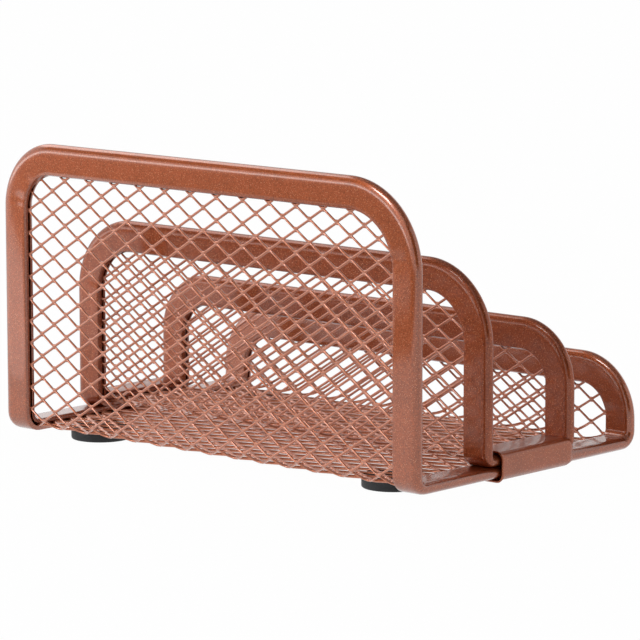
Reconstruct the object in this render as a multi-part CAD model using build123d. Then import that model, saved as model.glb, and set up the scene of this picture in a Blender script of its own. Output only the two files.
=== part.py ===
"""Stepped letter sorter: two expanded-mesh sheets, each folded into a U and bound by a steel rim.

The inner frame stands in the outer one and makes three letter slots, two sleeve clips hold the
stacked side rails together, and four rubber feet carry the outer floor.
+Z is up, the lowest panel faces -Y, and the feet stand on Z 0 with the origin between them.
"""
import os
from collections import namedtuple
from math import ceil, floor, hypot

from build123d import *

# Panels: heights are measured from the underside of the outer side rails
panel_width = 180.0
end_slot_gap = 29.0
middle_slot_gap = 37.0
back_height = 97.0
second_height = 68.5
third_height = 45.2
front_height = 30.4

# Rim: steel strip folded over the edge of the mesh, all the way round each frame
rim_width = 10.6
rim_thickness = 3.8
rim_bevel = 1.1
corner_radius = 25.0
low_corner_radius = 21.0
corner_limit_share = 0.9
fold_radius = 4.2

# Expanded mesh: a sharply folded sheet with diamonds across it and a plain border held in the rim
sheet_thickness = 1.0
sheet_inset = 1.6
sheet_grip = 8.1
sheet_border = 1.0
grip_clearance = 0.3
pitch_across = 17.5
pitch_along = 11.4
strand_width = 2.1

# Sleeve clips: thin C-shaped wraps round the two stacked rails
clip_wall = 0.6
clip_clearance = 0.1
clip_reach = 11.2

# Rubber feet, stuck to the underside of the outer floor
foot_diameter = 20.0
foot_drop = 2.5
foot_bevel = 0.6
foot_side_inset = 26.0
foot_end_inset = 19.0

cut_overrun = 2.0

# Places worked out from the sizes above
Frame = namedtuple("Frame", "rear front base rear_top front_top")
inner_reach = middle_slot_gap / 2 + rim_thickness
outer_reach = inner_reach + end_slot_gap + rim_thickness
inner_base = foot_drop + rim_thickness
outer_frame = Frame(outer_reach, -outer_reach, foot_drop, foot_drop + back_height, foot_drop + front_height)
inner_frame = Frame(inner_reach, -inner_reach, inner_base, foot_drop + second_height, foot_drop + third_height)
sheet_middle = sheet_inset + sheet_thickness / 2
sheet_edge = rim_width - sheet_grip
sheet_width = panel_width - 2 * sheet_edge
half_across = pitch_across / 2
half_along = pitch_along / 2
open_share = 1 - strand_width * hypot(half_across, half_along) / (2 * half_across * half_along)
open_half_width = half_across * open_share
REAR, FRONT = 1, -1


def arch(width, height, radius):
    """Upright panel outline with rounded top corners, standing on the X axis."""
    plate = Rectangle(width, height, align=(Align.CENTER, Align.MIN))
    return fillet(plate.vertices().group_by(Axis.Y)[-1], radius)


def upright(face, start_y, bottom, thickness):
    """Stand a flat face up at start_y and thicken it towards -Y."""
    return extrude(Plane.XZ.offset(-start_y) * Pos(0, bottom) * face, thickness)


def across(face, width):
    """Run a side view across the width of the frame."""
    return extrude(face, width / 2, both=True)


def wall_start(frame, side, inset, thickness):
    """Y of the +Y face of one layer of a wall."""
    return frame.rear - inset if side == REAR else frame.front + inset + thickness


def wall_outline(frame, side, edge, rise):
    """Width, height and corner radius of a wall that starts at rise and is drawn in by edge."""
    top, radius = (frame.rear_top, corner_radius) if side == REAR else (frame.front_top, low_corner_radius)
    height = top - frame.base - fold_radius
    radius = min(radius, height * corner_limit_share)
    return panel_width - 2 * edge, height + fold_radius - rise - edge, radius - edge


def bend(frame, side):
    """Side view of the rim's quarter bend between a wall and the floor."""
    centre_y = frame.rear - fold_radius if side == REAR else frame.front + fold_radius
    ring = Circle(fold_radius) - Circle(fold_radius - rim_thickness)
    quarter = Rectangle(fold_radius, fold_radius, align=(Align.MIN if side == REAR else Align.MAX, Align.MAX))
    return Plane.YZ * Pos(centre_y, frame.base + fold_radius) * (ring & quarter)


def rim_blank(frame):
    """The folded plate that the rim is cut from, with bevels along both edges of its outside."""
    rail = Rectangle(frame.rear - frame.front - 2 * fold_radius, rim_thickness, align=(Align.CENTER, Align.MIN))
    blank = across(Plane.YZ * Pos(0, frame.base) * rail, panel_width)
    for side in (REAR, FRONT):
        outline = arch(*wall_outline(frame, side, 0, fold_radius))
        start = wall_start(frame, side, 0, rim_thickness)
        blank += upright(outline, start, frame.base + fold_radius, rim_thickness)
        blank += across(bend(frame, side), panel_width)
    top_edges = blank.faces().sort_by(Axis.Z)[-1].edges().filter_by(Axis.X)
    return chamfer(top_edges, rim_bevel)


def rim(frame):
    """One continuous rim: its blank with the window and the slots for the sheet cut out."""
    depth = frame.rear - frame.front
    band = rim_blank(frame)
    floor_window = Box(panel_width - 2 * rim_width, depth + cut_overrun, fold_radius + cut_overrun,
                       align=(Align.CENTER, Align.CENTER, Align.MAX))
    band -= Pos(0, 0, frame.base + fold_radius) * floor_window
    slot_edge = sheet_edge - grip_clearance
    floor_slot = Box(panel_width - 2 * slot_edge, depth - 2 * sheet_inset, sheet_thickness,
                     align=(Align.CENTER, Align.CENTER, Align.MIN))
    band -= Pos(0, 0, frame.base + sheet_inset) * floor_slot
    for side in (REAR, FRONT):
        start = wall_start(frame, side, 0, rim_thickness)
        window = arch(*wall_outline(frame, side, rim_width, fold_radius))
        band -= upright(window, start, frame.base + fold_radius, rim_thickness)
        slot_start = wall_start(frame, side, sheet_inset, sheet_thickness)
        slot = arch(*wall_outline(frame, side, slot_edge, sheet_inset))
        band -= upright(slot, slot_start, frame.base + sheet_inset, sheet_thickness)
    return band


def opening(x, along, half_height):
    """Closed outline of one diamond of the mesh."""
    corners = [(x - open_half_width, along), (x, along - half_height),
               (x + open_half_width, along), (x, along + half_height)]
    return Wire.make_polygon(corners, close=True)


def row_places(row):
    """Middles of the diamonds across one row; odd rows are staggered by half a pitch."""
    shift = half_across * (row % 2)
    count = ceil(sheet_width / pitch_across)
    places = [shift + pitch_across * step for step in range(-count, count + 1)]
    return [x for x in places if abs(x) + open_half_width + sheet_border <= sheet_width / 2]


def inside_arch(x, y, width, height, radius):
    """Whether a point lies inside an arch, clear of its plain border."""
    overhang_x = max(abs(x) - (width / 2 - radius), 0)
    overhang_y = max(y - (height - radius), 0)
    return hypot(overhang_x, overhang_y) <= radius - sheet_border


def rows_at_fold(step):
    """How many rows, counted from the fold's own, reach the edge where wall and floor meet."""
    return ceil((sheet_thickness + step * open_share) / step)


def floor_rows(frame):
    """Number of half pitches along the floor from fold to fold, and the length of one."""
    length = frame.rear - frame.front - 2 * sheet_middle
    count = round(length / half_along)
    return count, length / count


def wall_mesh(frame, side):
    """A wall of the folded sheet, with the fold's own row of diamonds open at its lower edge."""
    outline = wall_outline(frame, side, sheet_edge, sheet_inset)
    first_row = 0 if side == REAR else floor_rows(frame)[0]
    half_height = half_along * open_share
    start = wall_start(frame, side, sheet_inset, sheet_thickness)
    bottom = frame.base + sheet_inset
    holes, notches = [], []
    for row in range(floor(outline[1] / half_along) + 1):
        along = sheet_thickness / 2 + row * half_along
        for x in row_places(first_row + row):
            corners = [(abs(x) + open_half_width, along), (abs(x), along + half_height)]
            if not all(inside_arch(*corner, *outline) for corner in corners):
                continue
            if row < rows_at_fold(half_along):
                notches.append(upright(Face(opening(x, along, half_height)), start, bottom, sheet_thickness))
            else:
                holes.append(opening(x, along, half_height))
    sheet = Face(arch(*outline).face().outer_wire(), holes)
    return upright(sheet, start, bottom, sheet_thickness) - notches


def floor_mesh(frame):
    """The floor of the folded sheet, between the walls, with half diamonds open at both folds."""
    count, step = floor_rows(frame)
    half_height = step * open_share
    plane = Plane.XY.offset(frame.base + sheet_inset)
    holes, notches = [], []
    for row in range(count + 1):
        along = frame.rear - sheet_middle - row * step
        for x in row_places(row):
            if min(row, count - row) < rows_at_fold(step):
                notches.append(extrude(plane * Face(opening(x, along, half_height)), sheet_thickness))
            else:
                holes.append(opening(x, along, half_height))
    length = frame.rear - frame.front - 2 * (sheet_inset + sheet_thickness)
    outline = Rectangle(sheet_width, length).face().outer_wire()
    return extrude(plane * Face(outline, holes), sheet_thickness) - notches


def clip_profile(stack, margin, corner):
    """End view of a sleeve layer: the rail stack grown by margin, with its outer corners rounded."""
    block = Rectangle(clip_reach + margin, stack + 2 * margin, align=(Align.MIN, Align.MIN))
    block = fillet(block.vertices().group_by(Axis.X)[-1], corner)
    return Plane.XZ * Pos(panel_width / 2 - clip_reach, foot_drop - margin) * block


def clip(side):
    """Sleeve round the two stacked rails between the inner frame's bends; side is the sign of its X."""
    stack = inner_base + rim_thickness - foot_drop
    inner_round = rim_bevel + clip_clearance
    half_length = inner_reach - fold_radius
    sleeve = extrude(clip_profile(stack, clip_clearance + clip_wall, inner_round + clip_wall),
                     half_length, both=True)
    sleeve -= extrude(clip_profile(stack, clip_clearance, inner_round), half_length, both=True)
    return sleeve if side > 0 else mirror(sleeve, Plane.YZ)


def foot(side, end):
    """Rubber disc under the outer floor; side and end are the signs of its X and Y."""
    disc = Cylinder(foot_diameter / 2, foot_drop + sheet_inset, align=(Align.CENTER, Align.CENTER, Align.MIN))
    disc = chamfer(disc.edges().sort_by(Axis.Z)[0], foot_bevel)
    return Pos(side * (panel_width / 2 - foot_side_inset), end * (outer_reach - foot_end_inset)) * disc


parts = {
    "outer_rim": rim(outer_frame),
    "back_wall_mesh": wall_mesh(outer_frame, REAR),
    "floor_mesh": floor_mesh(outer_frame),
    "front_wall_mesh": wall_mesh(outer_frame, FRONT),
    "inner_rim": rim(inner_frame),
    "second_wall_mesh": wall_mesh(inner_frame, REAR),
    "inner_floor_mesh": floor_mesh(inner_frame),
    "third_wall_mesh": wall_mesh(inner_frame, FRONT),
}
for side_name, side in (("left", -1), ("right", 1)):
    parts[f"{side_name}_clip"] = clip(side)
    parts[f"back_{side_name}_foot"] = foot(side, REAR)
    parts[f"front_{side_name}_foot"] = foot(side, FRONT)

os.makedirs("parts", exist_ok=True)
for name, solid in parts.items():
    export_step(solid, f"parts/{name}.step")
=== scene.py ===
"""Letter sorter of copper-painted steel: two folded sheets of expanded mesh in pressed rims.

Lengths are in metres. +Z is up, the tall back wall faces +Y and the low front wall faces -Y.
"""
import math
from collections import namedtuple

import bmesh
import bpy
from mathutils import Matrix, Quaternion, Vector


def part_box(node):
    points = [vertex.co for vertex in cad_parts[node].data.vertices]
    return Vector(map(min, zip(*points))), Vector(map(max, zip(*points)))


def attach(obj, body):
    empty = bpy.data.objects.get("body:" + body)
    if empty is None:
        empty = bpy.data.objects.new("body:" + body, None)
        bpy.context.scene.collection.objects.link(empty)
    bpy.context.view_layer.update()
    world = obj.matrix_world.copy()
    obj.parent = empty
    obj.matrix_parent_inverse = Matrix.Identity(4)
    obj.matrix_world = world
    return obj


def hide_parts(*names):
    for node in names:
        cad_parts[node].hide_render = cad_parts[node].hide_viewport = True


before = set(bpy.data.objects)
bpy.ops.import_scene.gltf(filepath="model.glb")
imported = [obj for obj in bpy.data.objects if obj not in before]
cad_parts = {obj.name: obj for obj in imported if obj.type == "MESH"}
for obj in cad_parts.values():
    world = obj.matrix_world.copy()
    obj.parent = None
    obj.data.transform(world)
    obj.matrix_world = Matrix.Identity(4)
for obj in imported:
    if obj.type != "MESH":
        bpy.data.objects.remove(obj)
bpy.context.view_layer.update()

MM = 0.001
TINY = 0.01 * MM
RIGHT_ANGLE = math.pi / 2
SMOOTH_ANGLE = math.radians(40)

# Edges of cut steel are rounded by this share of its thickness
steel_edge_share = 0.25
steel_edge_steps = 2

# Rim strip: a channel of thin steel, folded over the edge of the sheet
rim_width = 10.6 * MM
rim_wall = 0.5 * MM
rim_nose = 1.8 * MM
rim_nose_length = 2.9 * MM
rim_nose_steps = 8
rim_face_cuts = 5
lip_length = 0.6 * MM
lip_turn = 1.35 * MM
corner_steps = 24
fold_steps = 6
outer_fold = 6.0 * MM
inner_fold = 4.2 * MM

# Arch corners as the strip was bent: radii at -X and +X of each high wall, and of each low wall
outer_back_radii = (28.5 * MM, 22.0 * MM)
inner_back_radii = (26.0 * MM, 24.5 * MM)
outer_front_radius = 21.0 * MM
inner_front_radius = 20.5 * MM

# Dents that the bending of the strip left at each arch corner: angle, distance from the lip, depth
pleats = (
    (10, 1.9 * MM, 0.14 * MM),
    (10, 4.6 * MM, 0.09 * MM),
    (42, 1.9 * MM, 0.07 * MM),
)
pleat_reach = 3.2 * MM

# Expanded mesh: strands lean like louvres and meet in short bonds
pitch_along = 7.377 * MM
bond_length = 1.3 * MM
strand_width = 0.95 * MM
strand_thickness = 0.75 * MM
strand_lean = math.radians(23)
strand_round = 0.36 * MM
strand_round_steps = 3

# How far inside the rim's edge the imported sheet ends, and the sheet that is modelled here
packed_sheet_margin = 2.5 * MM
sheet_trim = 3.0 * MM

# How each sheet was cut: one bond's X, its drop below the top, the pitch across and the rise per pitch
Pattern = namedtuple("Pattern", "node_x node_drop pitch rise")
outer_pattern = Pattern(0.643 * MM, 15.284 * MM, 11.287 * MM, -0.0386 * MM)
inner_pattern = Pattern(-0.15 * MM, 14.14 * MM, 11.27 * MM, 0.1225 * MM)

# The inner frame and its clips sit a little nearer to the front
inner_shift = -1.2 * MM
clip_shift = -3.0 * MM

# Sleeve clips
clip_wall = 0.6 * MM
clip_round = 2.6 * MM
clip_round_steps = 6
clip_flares = (-0.4 * MM, 0.6 * MM)
clip_flare_length = 2.0 * MM

# Rubber feet
foot_sides = 48
foot_edge = 0.7 * MM
foot_edge_steps = 3
foot_recess_inset = 2.2 * MM
foot_recess_depth = 0.4 * MM

# Copper paint: colour, spread of the clouds and of the flakes in its tone, roughness and clear coat
Paint = namedtuple("Paint", "colour cloud flake roughness coat")
rim_copper = (0.345, 0.080, 0.0245)
outer_rim_look = Paint(rim_copper, cloud=0.06, flake=0.3, roughness=0.46, coat=1.0)
# The inner rim is the outer rim's copper made darker, as painted shade for the inner frame that stands
# inside the outer one
inner_rim_shaded_look = Paint((0.285, 0.062, 0.0185), cloud=0.06, flake=0.3, roughness=0.46, coat=0.5)
mesh_look = Paint((0.49, 0.148, 0.065), cloud=0.05, flake=0.14, roughness=0.34, coat=1.0)
clip_look = Paint(rim_copper, cloud=0.1, flake=0.2, roughness=0.46, coat=0.45)
# Colour of the few bright flakes: partly the flakes' own paler tone and partly a painted glint
flake_glint_copper = (0.66, 0.27, 0.13)
paint_metallic = 0.75
paint_specular = 0.2
coat_roughness = 0.12
coat_ior = 1.7

# Texture of the paint: scales in features to the metre, size of a bright flake, and relief
cloud_scale = 130
flake_scale = 2300
peel_scale = 420
bright_flake_scale = 1700
bright_flake_size = 0.19
flake_roughness = 0.05
flake_relief = 0.35
peel_strength = 0.12
peel_depth = 0.06 * MM

# Rubber
rubber_colour = (0.011, 0.012, 0.014)
bloom_scale = 220
bloom_tones = (0.75, 1.35)
grain_scale = 2600
grain_roughness = (0.5, 0.66)
grain_strength = 0.2
grain_depth = 0.08 * MM

# Noise keeps mostly between these values, so they are stretched over the range that is asked for
noise_low = 0.3
noise_high = 0.7

# Sockets of a mix node for colours
MIX_SHARE, MIX_FIRST, MIX_SECOND = 0, 6, 7
MIX_RESULT = 2

# Studio
world_fill = 0.55
floor_glow = 0.985
floor_size = 6.0
floor_tone = 0.8
floor_roughness = 0.9
object_middle = (0, 0, 0.04)
black_tone = 0.02
grey_tone = 0.5
floor_card_turn = math.atan2(0.6, 0.8)

# Camera, as the photograph was taken
camera_azimuth = math.radians(221.682)
camera_elevation = math.radians(8.883)
camera_roll = math.radians(-0.12)
camera_distance = 1.36424
camera_aim = Vector((-0.778, -0.693, 41.966)) * MM
camera_lens = 234.2
camera_sensor = 36.0

Frame = namedtuple("Frame", "half_width half_depth base back_top front_top fold back_radii front_radius")


def frame_of(rim, low_wall, fold, back_radii, front_radius):
    """One folded frame, as packed: its box, the top of its lower wall's rim, and its bends."""
    low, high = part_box(rim)
    front_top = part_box(low_wall)[1].z + packed_sheet_margin
    return Frame(high.x, high.y, low.z, high.z, front_top, fold, back_radii, front_radius)


outer_frame = frame_of("outer_rim", "front_wall_mesh", outer_fold, outer_back_radii, outer_front_radius)
inner_frame = frame_of("inner_rim", "third_wall_mesh", inner_fold, inner_back_radii, inner_front_radius)
rim_thickness = inner_frame.base - outer_frame.base


# Steps of modelling in edit mode
def added(name, scale=(1, 1, 1)):
    """The primitive that was just added, at its size, with its place in its mesh."""
    piece = bpy.context.object
    piece.name = name
    piece.scale = scale
    bpy.ops.object.transform_apply(location=True, rotation=True, scale=True)
    bpy.ops.object.mode_set(mode="EDIT")
    bpy.ops.mesh.select_all(action="SELECT")
    return piece


def place_of(part):
    """The middle of a vertex, edge or face."""
    if isinstance(part, bmesh.types.BMVert):
        return part.co
    if isinstance(part, bmesh.types.BMFace):
        return part.calc_center_median()
    return (part.verts[0].co + part.verts[1].co) / 2


def pick(piece, kind, test):
    """Selects the vertices, edges or faces of a piece in edit mode whose middle passes the test."""
    bpy.ops.mesh.select_mode(type=kind)
    bpy.ops.mesh.select_all(action="DESELECT")
    shape = bmesh.from_edit_mesh(piece.data)
    parts = {"VERT": shape.verts, "EDGE": shape.edges, "FACE": shape.faces}[kind]
    for part in parts:
        part.select_set(test(place_of(part)))
    shape.select_flush_mode()
    bmesh.update_edit_mesh(piece.data)


def pick_nearest(piece, place):
    """Selects the one vertex that lies nearest to a place."""
    bpy.ops.mesh.select_mode(type="VERT")
    bpy.ops.mesh.select_all(action="DESELECT")
    shape = bmesh.from_edit_mesh(piece.data)
    nearest = min(shape.verts, key=lambda vert: (vert.co - place).length_squared)
    nearest.select_set(True)
    bmesh.update_edit_mesh(piece.data)


def below(piece, height):
    """Indices of the vertices below a height, as they lie now."""
    shape = bmesh.from_edit_mesh(piece.data)
    shape.verts.index_update()
    return {vert.index for vert in shape.verts if vert.co.z < height - TINY}


def pick_listed(piece, indices):
    """Selects the vertices whose indices are given."""
    bpy.ops.mesh.select_mode(type="VERT")
    bpy.ops.mesh.select_all(action="DESELECT")
    shape = bmesh.from_edit_mesh(piece.data)
    for vert in shape.verts:
        vert.select_set(vert.index in indices)
    shape.select_flush_mode()
    bmesh.update_edit_mesh(piece.data)


def run(x=0.0, y=0.0, z=0.0):
    """Draws the selected edges out along a straight line."""
    bpy.ops.mesh.extrude_edges_move(TRANSFORM_OT_translate={"value": (x, y, z)})


def turn(centre, axis, angle, steps):
    """Draws the selected edges round an axis. Spin counts its angle the other way round."""
    bpy.ops.mesh.spin(steps=steps, angle=-angle, center=centre, axis=axis)


def move(x=0.0, y=0.0, z=0.0):
    bpy.ops.transform.translate(value=(x, y, z))


def close_seams():
    bpy.ops.mesh.select_all(action="SELECT")
    bpy.ops.mesh.remove_doubles(threshold=TINY)
    bpy.ops.mesh.normals_make_consistent(inside=False)


def modify(piece, kind, **settings):
    """Adds a modifier and applies it."""
    bpy.ops.object.mode_set(mode="OBJECT")
    modifier = piece.modifiers.new(kind.lower(), kind)
    for name, value in settings.items():
        setattr(modifier, name, value)
    bpy.ops.object.modifier_apply(modifier=modifier.name)


def smooth():
    """Smooth shading for the piece at hand, with its sharp edges kept."""
    bpy.ops.object.mode_set(mode="OBJECT")
    bpy.ops.object.shade_smooth_by_angle(angle=SMOOTH_ANGLE)


def thicken(piece, wall):
    """Gives sheet steel its thickness, inwards, and rounds its cut edges."""
    modify(piece, "SOLIDIFY", thickness=wall, offset=-1, use_even_offset=True)
    edge = wall * steel_edge_share
    modify(piece, "BEVEL", width=edge, segments=steel_edge_steps, limit_method="ANGLE")


def clear_selection():
    bpy.ops.object.select_all(action="DESELECT")


def dress(piece, material, slot, *nodes, shift=0.0):
    """Gives a finished piece its material and ties it to the CAD nodes that it stands for."""
    bpy.ops.object.mode_set(mode="EDIT")
    bpy.ops.mesh.select_all(action="SELECT")
    move(y=shift)
    bpy.ops.object.mode_set(mode="OBJECT")
    piece.data.materials.clear()
    piece.data.materials.append(material)
    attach(piece, "root")
    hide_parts(*nodes)


# Rims
def over_wall(part, top, sense, first, second):
    """From the fold on one side, up, over two corners of given radii and down.

    Sense is the sign of the way across.
    """
    foot = part.base + part.fold
    quarter = sense * RIGHT_ANGLE
    run(z=top - first - foot)
    turn((sense * (first - part.half_width), 0, top - first), (0, 1, 0), quarter, corner_steps)
    run(x=sense * (2 * part.half_width - first - second))
    turn((sense * (part.half_width - second), 0, top - second), (0, 1, 0), quarter, corner_steps)
    run(z=foot + second - top)


def fold_strip(part, y, angle):
    """Carries the strip round the fold between a rail and a wall."""
    turn((0, y, part.base + part.fold), (1, 0, 0), angle, fold_steps)


def press_pleats(piece, part, wall_y, top, radii):
    """Dents both faces of a wall's rim beside the lips of its two arch corners."""
    for side, radius in zip((-1, 1), radii):
        for angle, inset, depth in pleats:
            reach = radius - rim_width + inset
            turned = math.radians(angle)
            x = side * (part.half_width - radius + reach * math.cos(turned))
            z = top - radius + reach * math.sin(turned)
            for face in (-1, 1):
                pick_nearest(piece, Vector((x, wall_y + face * rim_thickness / 2, z)))
                bpy.ops.transform.translate(
                    value=(0, -face * depth, 0),
                    use_proportional_edit=True,
                    proportional_edit_falloff="SMOOTH",
                    proportional_size=pleat_reach,
                )


def rim_profile(name, part):
    """The open section of the strip at the middle of the right rail: two lips, two faces and a nose."""
    flat = rim_width - lip_length
    clear_selection()
    bpy.ops.mesh.primitive_plane_add(
        size=1,
        location=(part.half_width - flat / 2, 0, part.base + rim_thickness / 2),
        rotation=(RIGHT_ANGLE, 0, 0),
    )
    piece = added(name, (flat, rim_thickness, 1))
    lip_x = part.half_width - flat
    middle = part.base + rim_thickness / 2
    pick(piece, "VERT", lambda p: p.x > part.half_width - TINY)
    bpy.ops.mesh.bevel(affect="VERTICES", offset=rim_nose, segments=rim_nose_steps)
    pick(piece, "VERT", lambda p: p.x > lip_x + TINY)
    bpy.ops.transform.resize(
        value=(rim_nose_length / rim_nose, 1, 1), center_override=(part.half_width, 0, middle)
    )
    bpy.ops.mesh.select_all(action="SELECT")
    bpy.ops.mesh.delete(type="ONLY_FACE")
    pick(piece, "EDGE", lambda p: p.x < lip_x + TINY)
    bpy.ops.mesh.delete(type="EDGE")
    pick(piece, "EDGE", lambda p: p.x < part.half_width - rim_nose_length - TINY)
    bpy.ops.mesh.subdivide(number_cuts=rim_face_cuts)
    for level in (-1, 1):
        pick(piece, "VERT", lambda p: abs(p.x - lip_x) < TINY and level * (p.z - middle) > 0)
        turned_in = (-lip_length, 0, -level * lip_turn)
        bpy.ops.mesh.extrude_vertices_move(TRANSFORM_OT_translate={"value": turned_in})
    return piece


def rim_strip(name, part):
    """The strip drawn once round its frame: rail, back arch, rail, front arch and back to the start."""
    piece = rim_profile(name, part)
    reach = part.half_depth - part.fold
    low_radii = (part.front_radius, part.front_radius)
    bpy.ops.mesh.select_mode(type="EDGE")
    bpy.ops.mesh.select_all(action="SELECT")
    run(y=reach)
    fold_strip(part, reach, RIGHT_ANGLE)
    over_wall(part, part.back_top, -1, *reversed(part.back_radii))
    fold_strip(part, reach, -RIGHT_ANGLE)
    run(y=-2 * reach)
    fold_strip(part, -reach, -RIGHT_ANGLE)
    over_wall(part, part.front_top, 1, *low_radii)
    fold_strip(part, -reach, RIGHT_ANGLE)
    run(y=reach)
    close_seams()
    wall_y = part.half_depth - rim_thickness / 2
    press_pleats(piece, part, wall_y, part.back_top, part.back_radii)
    press_pleats(piece, part, -wall_y, part.front_top, low_radii)
    thicken(piece, rim_wall)
    smooth()
    return piece


# Expanded mesh
def bend_length(part):
    """Length of the sheet's middle in one fold."""
    return (part.fold - rim_thickness / 2) * RIGHT_ANGLE


def flat_end(part):
    """Height of the sheet's far end while it still hangs flat below its back wall."""
    fold_start = part.base + part.fold
    floor_length = 2 * (part.half_depth - part.fold)
    return 2 * fold_start - part.front_top - floor_length - 2 * bend_length(part)


def beyond_trim(place, part):
    """True where the flat sheet would reach too far into the rim, or past an arch corner."""
    past_top = place.z - part.back_top + sheet_trim
    past_end = flat_end(part) + sheet_trim - place.z
    radius = part.back_radii[place.x > 0] if past_top > past_end else part.front_radius
    radius -= sheet_trim
    across = abs(place.x) - part.half_width + sheet_trim
    along = max(past_top, past_end)
    if across > -radius and along > -radius:
        return math.hypot(across + radius, along + radius) > radius
    return across > 0 or along > 0


def lattice_cell(name, node, pattern):
    """Two bonds, each with its upper and its lower strand to the next bonds across."""
    lean = Vector((0, math.sin(strand_lean), math.cos(strand_lean)))
    clear_selection()
    bpy.ops.mesh.primitive_plane_add(size=1, location=node, rotation=(RIGHT_ANGLE - strand_lean, 0, 0))
    piece = added(name, (bond_length, 2 * strand_width, 1))
    bpy.ops.mesh.bisect(plane_co=node, plane_no=lean)
    strand = Vector((pattern.pitch / 2 - bond_length, 0, pitch_along / 2)) - strand_width * lean
    for side in (-1, 1):
        pick(piece, "EDGE", lambda p: p.x > node.x + TINY and side * (p.z - node.z) > TINY)
        run(strand.x, side * strand.y, side * strand.z + pattern.rise / 2)
    bpy.ops.mesh.select_all(action="SELECT")
    half_pitch = (pattern.pitch / 2, 0, (pitch_along + pattern.rise) / 2)
    bpy.ops.mesh.duplicate_move(TRANSFORM_OT_translate={"value": half_pitch})
    return piece


def lattice(name, part, pattern):
    """A flat sheet of expanded mesh in the plane of the back wall, long enough to be folded into a U."""
    node_z = part.back_top - pattern.node_drop
    columns = math.ceil((part.half_width + pattern.node_x) / pattern.pitch)
    rows = math.ceil((node_z + columns * pattern.rise - flat_end(part)) / pitch_along)
    wall_y = part.half_depth - rim_thickness / 2
    start_z = node_z - rows * pitch_along - columns * pattern.rise
    start = Vector((pattern.node_x - columns * pattern.pitch, wall_y, start_z))
    piece = lattice_cell(name, start, pattern)
    across = math.ceil((part.half_width - start.x) / pattern.pitch) + 1
    along = math.ceil((part.back_top - start.z) / pitch_along) + 1
    for count, offset in ((across, (pattern.pitch, 0, pattern.rise)), (along, (0, 0, pitch_along))):
        modify(
            piece, "ARRAY", count=count, use_relative_offset=False,
            use_constant_offset=True, constant_offset_displace=offset,
        )
    bpy.ops.object.mode_set(mode="EDIT")
    close_seams()
    pick(piece, "VERT", lambda p: beyond_trim(p, part))
    bpy.ops.mesh.delete(type="VERT")
    return piece


def fold_sheet(piece, part, start_z):
    """Folds what hangs below a height, in small turns. Rotate counts its angle the other way round."""
    wall_y = part.half_depth - rim_thickness / 2
    step = bend_length(part) / fold_steps
    hinges = [start_z - (index + 0.5) * step for index in range(fold_steps)]
    for hinge in hinges:
        bpy.ops.mesh.select_all(action="SELECT")
        bpy.ops.mesh.bisect(plane_co=(0, wall_y, hinge), plane_no=(0, 0, 1))
    hanging = [below(piece, hinge) for hinge in hinges]
    for hinge, indices in reversed(list(zip(hinges, hanging))):
        pick_listed(piece, indices)
        bpy.ops.transform.rotate(
            value=RIGHT_ANGLE / fold_steps, orient_axis="X", orient_type="GLOBAL",
            center_override=(0, wall_y, hinge),
        )


def mesh_sheet(name, part, pattern):
    """Expanded mesh with round-edged strands, folded at the front end first and then at the back."""
    piece = lattice(name, part, pattern)
    modify(piece, "SOLIDIFY", thickness=strand_thickness, offset=0, use_even_offset=True)
    modify(piece, "BEVEL", width=strand_round, segments=strand_round_steps, limit_method="ANGLE")
    bpy.ops.object.mode_set(mode="EDIT")
    fold_start = part.base + part.fold
    floor_length = 2 * (part.half_depth - part.fold)
    fold_sheet(piece, part, fold_start - bend_length(part) - floor_length)
    fold_sheet(piece, part, fold_start)
    smooth()
    return piece


# Clips and feet
def sleeve_clip(node):
    """A thin sleeve round the two stacked rails, drawn in at its front end and flared at its back."""
    low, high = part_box(node)
    side = math.copysign(1, low.x + high.x)
    width = high.x - low.x
    height = high.z - low.z
    middle = (low + high) / 2
    clear_selection()
    bpy.ops.mesh.primitive_plane_add(
        size=1, location=(middle.x, low.y, middle.z), rotation=(RIGHT_ANGLE, 0, 0)
    )
    piece = added(node.replace("clip", "sleeve_clip"), (width, height, 1))
    pick(piece, "VERT", lambda p: side * (p.x - middle.x) > 0)
    bpy.ops.mesh.bevel(affect="VERTICES", offset=clip_round, segments=clip_round_steps)
    bpy.ops.mesh.select_all(action="SELECT")
    bpy.ops.mesh.delete(type="ONLY_FACE")
    pick(piece, "EDGE", lambda p: side * (p.x - middle.x) < -width / 2 + TINY)
    bpy.ops.mesh.delete(type="EDGE")
    bpy.ops.mesh.select_mode(type="EDGE")
    bpy.ops.mesh.select_all(action="SELECT")
    for length in (clip_flare_length, high.y - low.y - 2 * clip_flare_length, clip_flare_length):
        run(y=length)
    for end, flare in zip((low.y, high.y), clip_flares):
        pick(piece, "VERT", lambda p: abs(p.y - end) < TINY)
        bpy.ops.transform.resize(
            value=(1 + flare / width, 1, 1 + 2 * flare / height),
            center_override=(middle.x - side * width / 2, end, middle.z),
        )
    close_seams()
    thicken(piece, clip_wall)
    smooth()
    return piece


def rubber_foot(node):
    """A moulded rubber disc with round edges and a shallow recess below."""
    low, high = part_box(node)
    radius = (high.x - low.x) / 2
    middle = (low + high) / 2
    clear_selection()
    bpy.ops.mesh.primitive_cylinder_add(
        vertices=foot_sides, radius=radius, depth=high.z - low.z, location=middle
    )
    piece = added(node.replace("foot", "rubber_foot"))
    pick(piece, "FACE", lambda p: p.z < low.z + TINY)
    bpy.ops.mesh.inset(thickness=foot_recess_inset)
    move(z=foot_recess_depth)
    pick(piece, "EDGE", lambda p: math.hypot(p.x - middle.x, p.y - middle.y) > radius - foot_edge
         and abs(p.z - middle.z) > (high.z - low.z) / 2 - TINY)
    bpy.ops.mesh.bevel(offset=foot_edge, segments=foot_edge_steps)
    smooth()
    return piece


# Finishes
def group_node(group, kind, **settings):
    node = group.nodes.new(kind)
    for name, value in settings.items():
        setattr(node, name, value)
    return node


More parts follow.
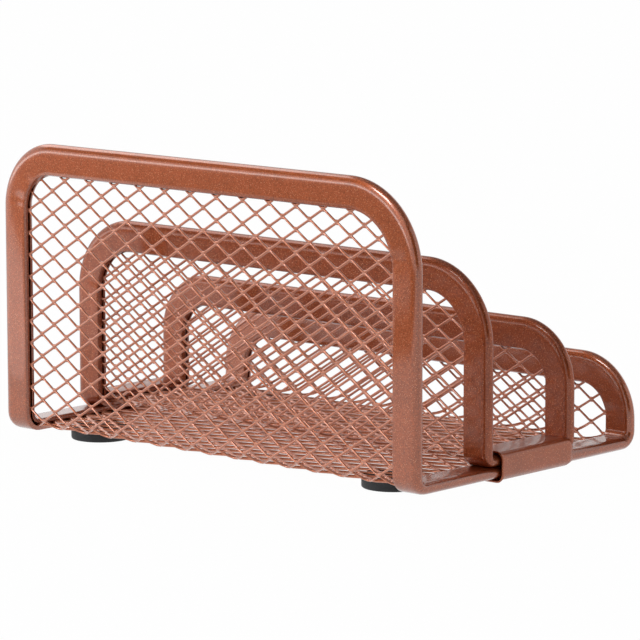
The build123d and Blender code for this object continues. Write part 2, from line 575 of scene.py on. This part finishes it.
def noise(group, place, scale, detail):
    """Noise on object coordinates. The scale is in features to the metre."""
    node = group_node(group, "ShaderNodeTexNoise")
    node.inputs["Scale"].default_value = scale
    node.inputs["Detail"].default_value = detail
    group.links.new(place, node.inputs["Vector"])
    return node.outputs["Fac"]


def spread(group, value, low, high):
    """A texture value stretched over a range."""
    node = group_node(group, "ShaderNodeMapRange")
    node.inputs["From Min"].default_value = noise_low
    node.inputs["From Max"].default_value = noise_high
    for name, end in (("To Min", low), ("To Max", high)):
        if isinstance(end, bpy.types.NodeSocket):
            group.links.new(end, node.inputs[name])
        else:
            node.inputs[name].default_value = end
    group.links.new(value, node.inputs["Value"])
    return node.outputs["Result"]


def maths(group, operation, *values):
    node = group_node(group, "ShaderNodeMath", operation=operation)
    for socket, value in zip(node.inputs, values):
        if isinstance(value, bpy.types.NodeSocket):
            group.links.new(value, socket)
        else:
            socket.default_value = value
    return node.outputs[0]


def new_group(name, inputs, outputs):
    """An empty node group with named sockets, and its input and output nodes."""
    group = bpy.data.node_groups.new(name, "ShaderNodeTree")
    for label, kind in inputs:
        group.interface.new_socket(label, in_out="INPUT", socket_type=kind)
    for label, kind in outputs:
        group.interface.new_socket(label, in_out="OUTPUT", socket_type=kind)
    return group, group.nodes.new("NodeGroupInput"), group.nodes.new("NodeGroupOutput")


def flake_group():
    """Sprayed metallic paint: clouds of tone, fine flakes and orange peel, with a few paler flakes whose
    colour is partly their own and partly a painted glint.
    """
    group, given, result = new_group(
        "metallic_paint",
        (("Paint", "NodeSocketColor"), ("Flake Glint", "NodeSocketColor"), ("Cloud", "NodeSocketFloat"),
         ("Flake", "NodeSocketFloat"), ("Roughness", "NodeSocketFloat")),
        (("Colour", "NodeSocketColor"), ("Roughness", "NodeSocketFloat"), ("Height", "NodeSocketFloat")),
    )
    place = group.nodes.new("ShaderNodeTexCoord").outputs["Object"]
    cloud = noise(group, place, cloud_scale, detail=2)
    flake = noise(group, place, flake_scale, detail=1)
    peel = noise(group, place, peel_scale, detail=1)
    cells = group_node(group, "ShaderNodeTexVoronoi")
    cells.inputs["Scale"].default_value = bright_flake_scale
    group.links.new(place, cells.inputs["Vector"])
    cloud_low = maths(group, "MULTIPLY", given.outputs["Cloud"], -1.0)
    flake_low = maths(group, "MULTIPLY", given.outputs["Flake"], -1.0)
    cloud_shade = spread(group, cloud, cloud_low, given.outputs["Cloud"])
    flake_shade = spread(group, flake, flake_low, given.outputs["Flake"])
    tone = maths(group, "ADD", maths(group, "ADD", cloud_shade, flake_shade), 1.0)
    toned = group_node(group, "ShaderNodeVectorMath", operation="SCALE")
    group.links.new(given.outputs["Paint"], toned.inputs[0])
    group.links.new(tone, toned.inputs["Scale"])
    # The specks take the paler flake colour, partly their own tone and partly a painted glint
    speck = maths(group, "LESS_THAN", cells.outputs["Distance"], bright_flake_size)
    bright = group_node(group, "ShaderNodeMix", data_type="RGBA")
    group.links.new(speck, bright.inputs[MIX_SHARE])
    group.links.new(toned.outputs[0], bright.inputs[MIX_FIRST])
    group.links.new(given.outputs["Flake Glint"], bright.inputs[MIX_SECOND])
    group.links.new(bright.outputs[MIX_RESULT], result.inputs["Colour"])
    flake_rough = spread(group, flake, -flake_roughness, flake_roughness)
    rough = maths(group, "ADD", given.outputs["Roughness"], flake_rough)
    group.links.new(rough, result.inputs["Roughness"])
    height = maths(group, "ADD", peel, maths(group, "MULTIPLY", flake, flake_relief))
    group.links.new(height, result.inputs["Height"])
    return group


def new_material(name):
    material = bpy.data.materials.new(name)
    material.use_nodes = True
    return material.node_tree, material.node_tree.nodes["Principled BSDF"], material


def add_bump(tree, shader, height, strength, distance):
    bump = tree.nodes.new("ShaderNodeBump")
    bump.inputs["Strength"].default_value = strength
    bump.inputs["Distance"].default_value = distance
    tree.links.new(height, bump.inputs["Height"])
    tree.links.new(bump.outputs["Normal"], shader.inputs["Normal"])


def copper_paint(name, group, look):
    """Metallic copper paint under a thin clear coat."""
    tree, shader, material = new_material(name)
    flakes = tree.nodes.new("ShaderNodeGroup")
    flakes.node_tree = group
    flakes.inputs["Paint"].default_value = (*look.colour, 1)
    flakes.inputs["Flake Glint"].default_value = (*flake_glint_copper, 1)
    flakes.inputs["Cloud"].default_value = look.cloud
    flakes.inputs["Flake"].default_value = look.flake
    flakes.inputs["Roughness"].default_value = look.roughness
    tree.links.new(flakes.outputs["Colour"], shader.inputs["Base Color"])
    tree.links.new(flakes.outputs["Roughness"], shader.inputs["Roughness"])
    shader.inputs["Metallic"].default_value = paint_metallic
    shader.inputs["Specular IOR Level"].default_value = paint_specular
    shader.inputs["Coat Weight"].default_value = look.coat
    shader.inputs["Coat Roughness"].default_value = coat_roughness
    shader.inputs["Coat IOR"].default_value = coat_ior
    add_bump(tree, shader, flakes.outputs["Height"], peel_strength, peel_depth)
    return material


def black_rubber():
    """Near-black rubber with a fine grain and a paler bloom in patches."""
    tree, shader, material = new_material("black_rubber")
    place = tree.nodes.new("ShaderNodeTexCoord").outputs["Object"]
    bloom = noise(tree, place, bloom_scale, detail=3)
    grain = noise(tree, place, grain_scale, detail=1)
    toned = group_node(tree, "ShaderNodeVectorMath", operation="SCALE")
    toned.inputs[0].default_value = rubber_colour
    tree.links.new(spread(tree, bloom, *bloom_tones), toned.inputs["Scale"])
    tree.links.new(toned.outputs[0], shader.inputs["Base Color"])
    tree.links.new(spread(tree, grain, *grain_roughness), shader.inputs["Roughness"])
    add_bump(tree, shader, grain, grain_strength, grain_depth)
    return material


paint_flakes = flake_group()
outer_rim_paint = copper_paint("outer_rim_copper_paint", paint_flakes, outer_rim_look)
# The inner rim's paint is the darker copper, a painted shade
inner_rim_shaded_paint = copper_paint("inner_rim_shaded_copper_paint", paint_flakes, inner_rim_shaded_look)
mesh_paint = copper_paint("mesh_copper_paint", paint_flakes, mesh_look)
clip_paint = copper_paint("clip_copper_paint", paint_flakes, clip_look)
rubber = black_rubber()

dress(rim_strip("outer_rim_strip", outer_frame), outer_rim_paint, "rim_paint", "outer_rim")
dress(
    rim_strip("inner_rim_strip", inner_frame), inner_rim_shaded_paint, "rim_paint",
    "inner_rim", shift=inner_shift,
)
dress(
    mesh_sheet("outer_mesh_sheet", outer_frame, outer_pattern), mesh_paint, "mesh_paint",
    "back_wall_mesh", "floor_mesh", "front_wall_mesh",
)
dress(
    mesh_sheet("inner_mesh_sheet", inner_frame, inner_pattern), mesh_paint, "mesh_paint",
    "second_wall_mesh", "inner_floor_mesh", "third_wall_mesh", shift=inner_shift,
)
for clip_node in ("left_clip", "right_clip"):
    dress(sleeve_clip(clip_node), clip_paint, "clip_paint", clip_node, shift=clip_shift)
for foot_node in ("back_left_foot", "back_right_foot", "front_left_foot", "front_right_foot"):
    dress(rubber_foot(foot_node), rubber, "rubber", foot_node)


# Floor, light and camera
def seen_directly(tree):
    """1 for camera, glossy and transmission rays, and 0 for the rest."""
    path = tree.nodes.new("ShaderNodeLightPath")
    either = maths(tree, "MAXIMUM", path.outputs["Is Camera Ray"], path.outputs["Is Glossy Ray"])
    return maths(tree, "MAXIMUM", either, path.outputs["Is Transmission Ray"])


def studio_world():
    """White where it is seen, and a softer fill for the rest."""
    world = bpy.data.worlds.new("studio")
    bpy.context.scene.world = world
    world.use_nodes = True
    tree = world.node_tree
    strength = tree.nodes.new("ShaderNodeMapRange")
    strength.inputs["To Min"].default_value = world_fill
    strength.inputs["To Max"].default_value = 1.0
    tree.links.new(seen_directly(tree), strength.inputs["Value"])
    background = tree.nodes["Background"]
    background.inputs["Color"].default_value = (1, 1, 1, 1)
    tree.links.new(strength.outputs["Result"], background.inputs["Strength"])


def studio_floor():
    """Pale floor that reads as white and keeps a faint shadow."""
    clear_selection()
    bpy.ops.mesh.primitive_plane_add(size=floor_size, location=(0, 0, 0))
    floor = bpy.context.object
    floor.name = "floor"
    tree, shader, material = new_material("white_floor")
    shader.inputs["Base Color"].default_value = (floor_tone, floor_tone, floor_tone, 1)
    shader.inputs["Roughness"].default_value = floor_roughness
    glow = tree.nodes.new("ShaderNodeEmission")
    mix = tree.nodes.new("ShaderNodeMixShader")
    tree.links.new(maths(tree, "MULTIPLY", seen_directly(tree), floor_glow), mix.inputs[0])
    tree.links.new(shader.outputs[0], mix.inputs[1])
    tree.links.new(glow.outputs[0], mix.inputs[2])
    tree.links.new(mix.outputs[0], tree.nodes["Material Output"].inputs["Surface"])
    floor.data.materials.append(material)


def aimed(place, aim):
    return (Vector(aim) - Vector(place)).to_track_quat("-Z", "Y")


def soft_light(name, place, size, power, aim=object_middle):
    """A lamp with a square-edged pane. Its power is in watts."""
    lamp = bpy.data.lights.new(name, "AREA")
    lamp.shape = "RECTANGLE"
    lamp.size, lamp.size_y = size
    lamp.energy = power
    fitting = bpy.data.objects.new(name, lamp)
    fitting.visible_camera = False
    bpy.context.scene.collection.objects.link(fitting)
    fitting.location = place
    fitting.rotation_mode = "QUATERNION"
    fitting.rotation_quaternion = aimed(place, aim)


def reflected_card(name, place, size, flat_turn=None, tone=black_tone):
    """A card that the camera can't see, for the metal to reflect. It faces the object or lies flat."""
    clear_selection()
    bpy.ops.mesh.primitive_plane_add(size=1)
    card = bpy.context.object
    card.name = name
    card.scale = (*size, 1)
    card.rotation_mode = "QUATERNION"
    if flat_turn is None:
        card.rotation_quaternion = aimed(place, object_middle)
    else:
        card.rotation_quaternion = Quaternion((0, 0, 1), flat_turn)
    card.location = place
    bpy.ops.object.transform_apply(location=True, rotation=True, scale=True)
    tree, shader, material = new_material(name)
    shader.inputs["Base Color"].default_value = (tone, tone, tone, 1)
    shader.inputs["Roughness"].default_value = 1.0
    card.data.materials.append(material)
    card.visible_camera = False


studio_world()
studio_floor()
soft_light("side_light", place=(0.95, 0.15, 0.95), size=(0.8, 0.5), power=3.0)
soft_light("low_light", place=(0.76, 0.84, 0.12), size=(1.3, 0.16), power=1.7)
soft_light("front_light", place=(0.20, 1.00, 0.74), size=(0.36, 0.26), power=4.2)
soft_light("floor_light", place=(0.28, 0.25, 0.004), size=(0.3, 0.3), power=0.17, aim=(0.28, 0.25, 1.0))
reflected_card("front_card", place=(0.66, 0.74, 0.62), size=(0.6, 0.5))
reflected_card("camera_card", place=(-0.85, 0.80, 0.42), size=(1.0, 0.8))
reflected_card("top_card", place=(-0.1, 0.0, 1.2), size=(2.2, 2.2), tone=grey_tone)
reflected_card("floor_card", place=(0.40, 0.75, 0.002), size=(1.2, 0.6), flat_turn=floor_card_turn)

camera = bpy.data.cameras.new("camera")
camera.lens = camera_lens
camera.sensor_width = camera_sensor
viewer = bpy.data.objects.new("camera", camera)
bpy.context.scene.collection.objects.link(viewer)
away = Vector((
    math.sin(camera_azimuth) * math.cos(camera_elevation),
    -math.cos(camera_azimuth) * math.cos(camera_elevation),
    math.sin(camera_elevation),
))
viewer.location = camera_aim + camera_distance * away
viewer.rotation_mode = "QUATERNION"
viewer.rotation_quaternion = (-away).to_track_quat("-Z", "Y") @ Quaternion((0, 0, 1), camera_roll)
bpy.context.scene.camera = viewer
bpy.context.scene.view_settings.view_transform = "Standard"
